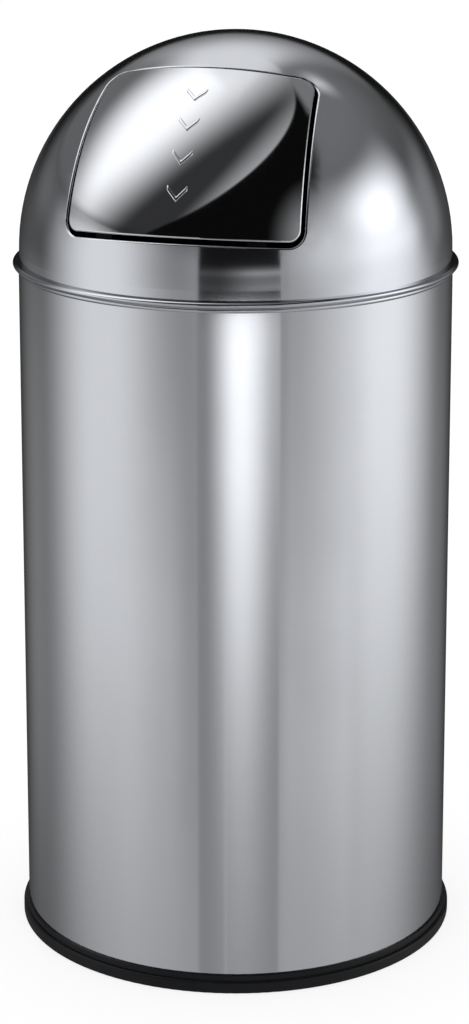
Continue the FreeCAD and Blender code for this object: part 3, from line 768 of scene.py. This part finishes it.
def disc_group():
    """How much a direction sees of a round panel."""
    inputs = [("Direction", (0.0, 0.0, 1.0)), ("Axis", (0.0, 0.0, 1.0)), ("Radius", 10.0), ("Edge", 1.0)]
    tree, given, result = new_group("Tent disc", inputs, ["Mask"])
    product = add_node(tree, "ShaderNodeVectorMath", operation="DOT_PRODUCT")
    tree.links.new(given["Direction"], product.inputs[0])
    tree.links.new(given["Axis"], product.inputs[1])
    angle_off = calc(tree, "DEGREES", calc(tree, "ARCCOSINE", product.outputs["Value"]))
    outside = calc(tree, "SUBTRACT", angle_off, given["Radius"])
    tree.links.new(soft_inside(tree, outside, given["Edge"]), result["Mask"])
    return tree


def panel_mask(tree, view, panel):
    """How much of a card or disc each direction sees."""
    if isinstance(panel, Card):
        values = {
            "Azimuth": view.azimuth,
            "Elevation": view.elevation,
            "Card azimuth": panel.azimuth,
            "Card elevation": panel.elevation,
            "Half width": panel.half_width,
            "Half height": panel.half_height,
            "Side edge": panel.side_edge,
            "Top edge": panel.top_edge,
        }
        return use_group(tree, view.square_group, "Mask", **values)
    heading = math.radians(panel.azimuth) + view.swing
    rise = math.radians(panel.elevation)
    axis = (math.sin(heading) * math.cos(rise), -math.cos(heading) * math.cos(rise), math.sin(rise))
    values = {"Direction": view.direction, "Axis": axis, "Radius": panel.radius, "Edge": panel.edge}
    return use_group(tree, view.round_group, "Mask", **values)


def lit_by(tree, view, panel, light):
    """A light with a card or disc laid over it."""
    return between(tree, panel_mask(tree, view, panel), light, panel.light)


def fading_in(tree, view, foot, mask):
    """A mask that fades in at its lower edge."""
    return calc(tree, "MULTIPLY", mask, spread(tree, view.elevation, 0.0, 1.0, *foot, smooth=True))


def tent_light(tree, view):
    """How bright the tent is in each direction."""
    light = spread(tree, view.elevation, *TENT_LIGHTS, *TENT_RISE, smooth=True)
    for card in LOW_CARDS:
        light = lit_by(tree, view, card, light)
    room = fading_in(tree, view, ROOM_FOOT, panel_mask(tree, view, ROOM))
    light = between(tree, room, light, ROOM.light)
    light = lit_by(tree, view, ROOM_GLOW, light)
    overhead = PANEL.light
    for disc in PANEL_SHADES:
        overhead = lit_by(tree, view, disc, overhead)
    outline = calc(tree, "MAXIMUM", *(panel_mask(tree, view, part) for part in (PANEL, PANEL_BACK)))
    light = between(tree, fading_in(tree, view, PANEL_FOOT, outline), light, overhead)
    for card in HIGH_CARDS:
        light = lit_by(tree, view, card, light)
    return light


def light_tent(studio):
    """The world: white to the camera, a light tent to shiny metal, plain soft light to the rest."""
    world = bpy.data.worlds.new("light_tent")
    bpy.context.scene.world = world
    world.use_nodes = True
    world.cycles.sampling_method = "NONE"
    tree = world.node_tree
    direction = add_node(tree, "ShaderNodeTexCoord").outputs["Generated"]
    parts = add_node(tree, "ShaderNodeSeparateXYZ")
    tree.links.new(direction, parts.inputs[0])
    heading = calc(tree, "ARCTAN2", parts.outputs["X"], calc(tree, "MULTIPLY", parts.outputs["Y"], -1.0))
    azimuth = calc(tree, "DEGREES", calc(tree, "SUBTRACT", heading, studio.camera_swing))
    elevation = calc(tree, "DEGREES", calc(tree, "ARCSINE", parts.outputs["Z"]))
    view = View(direction, azimuth, elevation, studio.camera_swing, card_group(), disc_group())
    tent = tent_light(tree, view)
    plain = spread(tree, parts.outputs["Z"], SHADOW_LIGHT, SKY_LIGHT, -1.0, 1.0)
    path = add_node(tree, "ShaderNodeLightPath")
    shiny = calc(tree, "MAXIMUM", path.outputs["Is Glossy Ray"], path.outputs["Is Transmission Ray"])
    seen = between(tree, shiny, plain, tent)
    background = tree.nodes["Background"]
    background.inputs["Color"].default_value = WHITE
    tree.links.new(between(tree, path.outputs["Is Camera Ray"], seen, 1.0), background.inputs["Strength"])


def matt_glow(name, base):
    """A matt material, and the socket for how much it glows."""
    material, tree, shader = new_material(name, base, metallic=0.0, roughness=1.0)
    shader.inputs["Specular IOR Level"].default_value = 0.0
    shader.inputs["Emission Color"].default_value = WHITE
    return material, tree, shader.inputs["Emission Strength"]


# Dark board ahead of the lid: places in the camera's heading, from the bin's axis and the floor
BOARD_AHEAD = 324 * MM
BOARD_LEFT = -81 * MM
BOARD_RIGHT = 99 * MM
BOARD_BOTTOM = 521 * MM
BOARD_TOP = 632 * MM
BOARD_LIGHT = 0.01

# Strips across it: brightness on the left and right, height of the middle, half height and edge
STRIPS = [
    Strip((0.05, 0.20), 557 * MM, 24 * MM, 8 * MM),
    Strip((0.12, 0.50), 570 * MM, 4 * MM, 6 * MM),
    Strip((0.10, 0.42), 543 * MM, 3 * MM, 5 * MM),
]


def dark_board(studio):
    """A board with lighter strips across it, seen only by reflection."""
    swing = studio.camera_swing
    across = Vector((math.cos(swing), math.sin(swing), 0.0))
    ahead = Vector((math.sin(swing), -math.cos(swing), 0.0)) * BOARD_AHEAD
    up = Vector((0.0, 0.0, 1.0))
    corners = (
        (BOARD_LEFT, BOARD_BOTTOM),
        (BOARD_RIGHT, BOARD_BOTTOM),
        (BOARD_RIGHT, BOARD_TOP),
        (BOARD_LEFT, BOARD_TOP),
    )
    shape = bmesh.new()
    shape.faces.new([shape.verts.new(ahead + across * side + up * height) for side, height in corners])
    material, tree, glow = matt_glow("board_dark", (0.0, 0.0, 0.0))
    material.cycles.emission_sampling = "NONE"
    parts = add_node(tree, "ShaderNodeSeparateXYZ")
    tree.links.new(add_node(tree, "ShaderNodeTexCoord").outputs["Object"], parts.inputs[0])
    side = calc(tree, "ADD", *(calc(tree, "MULTIPLY", parts.outputs[i], across[i]) for i in range(2)))
    light = BOARD_LIGHT
    for strip in STRIPS:
        across_strip = spread(tree, side, *strip.lights, BOARD_LEFT / 2, BOARD_RIGHT / 2, smooth=True)
        off_middle = calc(tree, "ABSOLUTE", calc(tree, "SUBTRACT", parts.outputs["Z"], strip.middle))
        beyond = calc(tree, "SUBTRACT", off_middle, strip.half)
        light = between(tree, soft_inside(tree, beyond, strip.edge), light, across_strip)
    tree.links.new(light, glow)
    board = placed("board", shape, material)
    board.visible_camera = False
    board.visible_diffuse = False
    board.visible_shadow = False


FLOOR_SHADE = 0.3          # colour that takes the bin's shadow
FLOOR_WHITE = 0.74         # glow to the camera that brings the lit floor up to white


def pale_floor(studio):
    """A floor that is white where nothing shades it and keeps the bin's soft shadow."""
    shape = bmesh.new()
    bmesh.ops.create_circle(shape, cap_ends=True, radius=studio.floor_radius, segments=FLOOR_SEGMENTS)
    material, tree, glow = matt_glow("floor_white", (FLOOR_SHADE,) * 3)
    path = add_node(tree, "ShaderNodeLightPath")
    tree.links.new(calc(tree, "MULTIPLY", path.outputs["Is Camera Ray"], FLOOR_WHITE), glow)
    floor = placed("floor", shape, material)
    floor.visible_glossy = False


def photo_camera(studio):
    """The camera, at the photo's viewing angle."""
    data = bpy.data.cameras.new("camera")
    data.lens = studio.camera_lens
    data.sensor_width = studio.camera_sensor
    data.shift_x, data.shift_y = studio.camera_shift
    data.clip_end = 2 * studio.floor_radius
    camera = bpy.data.objects.new("camera", data)
    swing = studio.camera_swing
    camera.location = (
        studio.camera_distance * math.sin(swing),
        -studio.camera_distance * math.cos(swing),
        studio.camera_height,
    )
    camera.rotation_euler = (math.pi / 2 - studio.camera_pitch, 0.0, swing)
    bpy.context.scene.collection.objects.link(camera)
    bpy.context.scene.camera = camera


# Operators

class BIN_OT_body(bpy.types.Operator):
    """Finish the body's wall and bottom, and add its welded seam"""
    bl_idname = "bin.body"
    bl_label = "Body"

    def execute(self, context):
        finishes = context.scene.bin_finishes
        steel = satin_steel(finishes.satin_steel)
        dress(steel, "body_shell")
        dress(mill_steel(finishes.mill_steel), "base_plate")
        seam = new_piece("body_seam", weld_seam(context.scene.bin_sizes), steel)
        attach(seam, "bin_body")
        return {"FINISHED"}


class BIN_OT_floor_ring(bpy.types.Operator):
    """Finish the moulded floor ring"""
    bl_idname = "bin.floor_ring"
    bl_label = "Floor ring"

    def execute(self, context):
        dress(moulded_black(context.scene.bin_finishes.moulded_black), "base_ring")
        return {"FINISHED"}


class BIN_OT_lid(bpy.types.Operator):
    """Finish the half-ball lid and its locating skirt"""
    bl_idname = "bin.lid"
    bl_label = "Lid"

    def execute(self, context):
        finishes = context.scene.bin_finishes
        dress(bright_steel(finishes.bright_steel), "dome_lid")
        dress(bpy.data.materials["mill_steel"], "lid_skirt")
        return {"FINISHED"}


class BIN_OT_flap(bpy.types.Operator):
    """Finish the push flap and stamp its arrowheads"""
    bl_idname = "bin.flap"
    bl_label = "Push flap"

    def execute(self, context):
        steel = polished_steel(context.scene.bin_finishes.polished_steel)
        dress(steel, "flap_panel")
        marks = new_piece("flap_marks", stamped_marks(context.scene.bin_sizes), steel)
        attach(marks, "flap")
        return {"FINISHED"}


class BIN_OT_hinge(bpy.types.Operator):
    """Finish the flap's hinge and stops"""
    bl_idname = "bin.hinge"
    bl_label = "Hinge and stops"

    def execute(self, context):
        finishes = context.scene.bin_finishes
        mill = bpy.data.materials["mill_steel"]
        dress(mill, *both("hinge_bracket"), *both("flap_lug"))
        # the stop clips get near-black painted shade, so the gap under the flap stays dark
        dress(black_steel(finishes.black_steel), *both("stop_clip"))
        dress(ground_steel(finishes.ground_steel), "hinge_rod")
        dress(nylon(finishes.nylon), *both("hinge_bush"))
        dress(buffer_rubber(finishes.rubber), *both("stop_buffer"))
        dress(bpy.data.materials["moulded_black"], *both("rod_cap"))
        return {"FINISHED"}


class BIN_OT_springs(bpy.types.Operator):
    """Wind the two return springs"""
    bl_idname = "bin.springs"
    bl_label = "Return springs"

    def execute(self, context):
        sizes = context.scene.bin_sizes
        steel = spring_steel(context.scene.bin_finishes.spring_steel)
        low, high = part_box("return_spring_right")
        for side, toward in SIDES.items():
            shape = coil(sizes, low, high)
            if toward < 0:
                mirror_across(shape)
            spring = new_piece("spring_" + side, shape, steel)
            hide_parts("return_spring_" + side)
            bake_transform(spring)
        return {"FINISHED"}


class BIN_OT_bucket(bpy.types.Operator):
    """Finish the lift-out bucket and its handle"""
    bl_idname = "bin.bucket"
    bl_label = "Bucket"

    def execute(self, context):
        zinc = galvanised(context.scene.bin_finishes.zinc)
        dress(zinc, "bucket_wall", "bucket_base", "ear_rivets", "bail_wire", *both("bail_ear"))
        dress(bpy.data.materials["moulded_black"], "bail_grip")
        return {"FINISHED"}


class BIN_OT_studio(bpy.types.Operator):
    """Set up the floor, the dark board, the light tent and the camera"""
    bl_idname = "bin.studio"
    bl_label = "Studio"

    def execute(self, context):
        studio = context.scene.bin_studio
        context.scene.view_settings.view_transform = "Standard"
        pale_floor(studio)
        dark_board(studio)
        light_tent(studio)
        photo_camera(studio)
        return {"FINISHED"}


class BIN_PT_panel(bpy.types.Panel):
    """Sizes, finishes and steps of the bin"""
    bl_idname = "BIN_PT_panel"
    bl_label = "Push-lid bin"
    bl_space_type = "VIEW_3D"
    bl_region_type = "UI"
    bl_category = "Bin"

    def draw(self, context):
        layout = self.layout
        for group in (context.scene.bin_sizes, context.scene.bin_finishes, context.scene.bin_studio):
            column = layout.column(align=True)
            for name in type(group).__annotations__:
                column.prop(group, name)
        for operator in STEPS:
            layout.operator(operator.bl_idname)


STEPS = (
    BIN_OT_body,
    BIN_OT_floor_ring,
    BIN_OT_lid,
    BIN_OT_flap,
    BIN_OT_hinge,
    BIN_OT_springs,
    BIN_OT_bucket,
    BIN_OT_studio,
)
GROUPS = {"bin_sizes": BinSizes, "bin_finishes": BinFinishes, "bin_studio": BinStudio}


def register():
    for item in (*GROUPS.values(), *STEPS, BIN_PT_panel):
        bpy.utils.register_class(item)
    for name, group in GROUPS.items():
        setattr(bpy.types.Scene, name, PointerProperty(type=group))


def unregister():
    for name in GROUPS:
        delattr(bpy.types.Scene, name)
    for item in reversed((*GROUPS.values(), *STEPS, BIN_PT_panel)):
        bpy.utils.unregister_class(item)


def main():
    register()
    bpy.ops.bin.body()
    bpy.ops.bin.floor_ring()
    bpy.ops.bin.lid()
    bpy.ops.bin.flap()
    bpy.ops.bin.hinge()
    bpy.ops.bin.springs()
    bpy.ops.bin.bucket()
    bpy.ops.bin.studio()


if __name__ == "__main__":
    main()
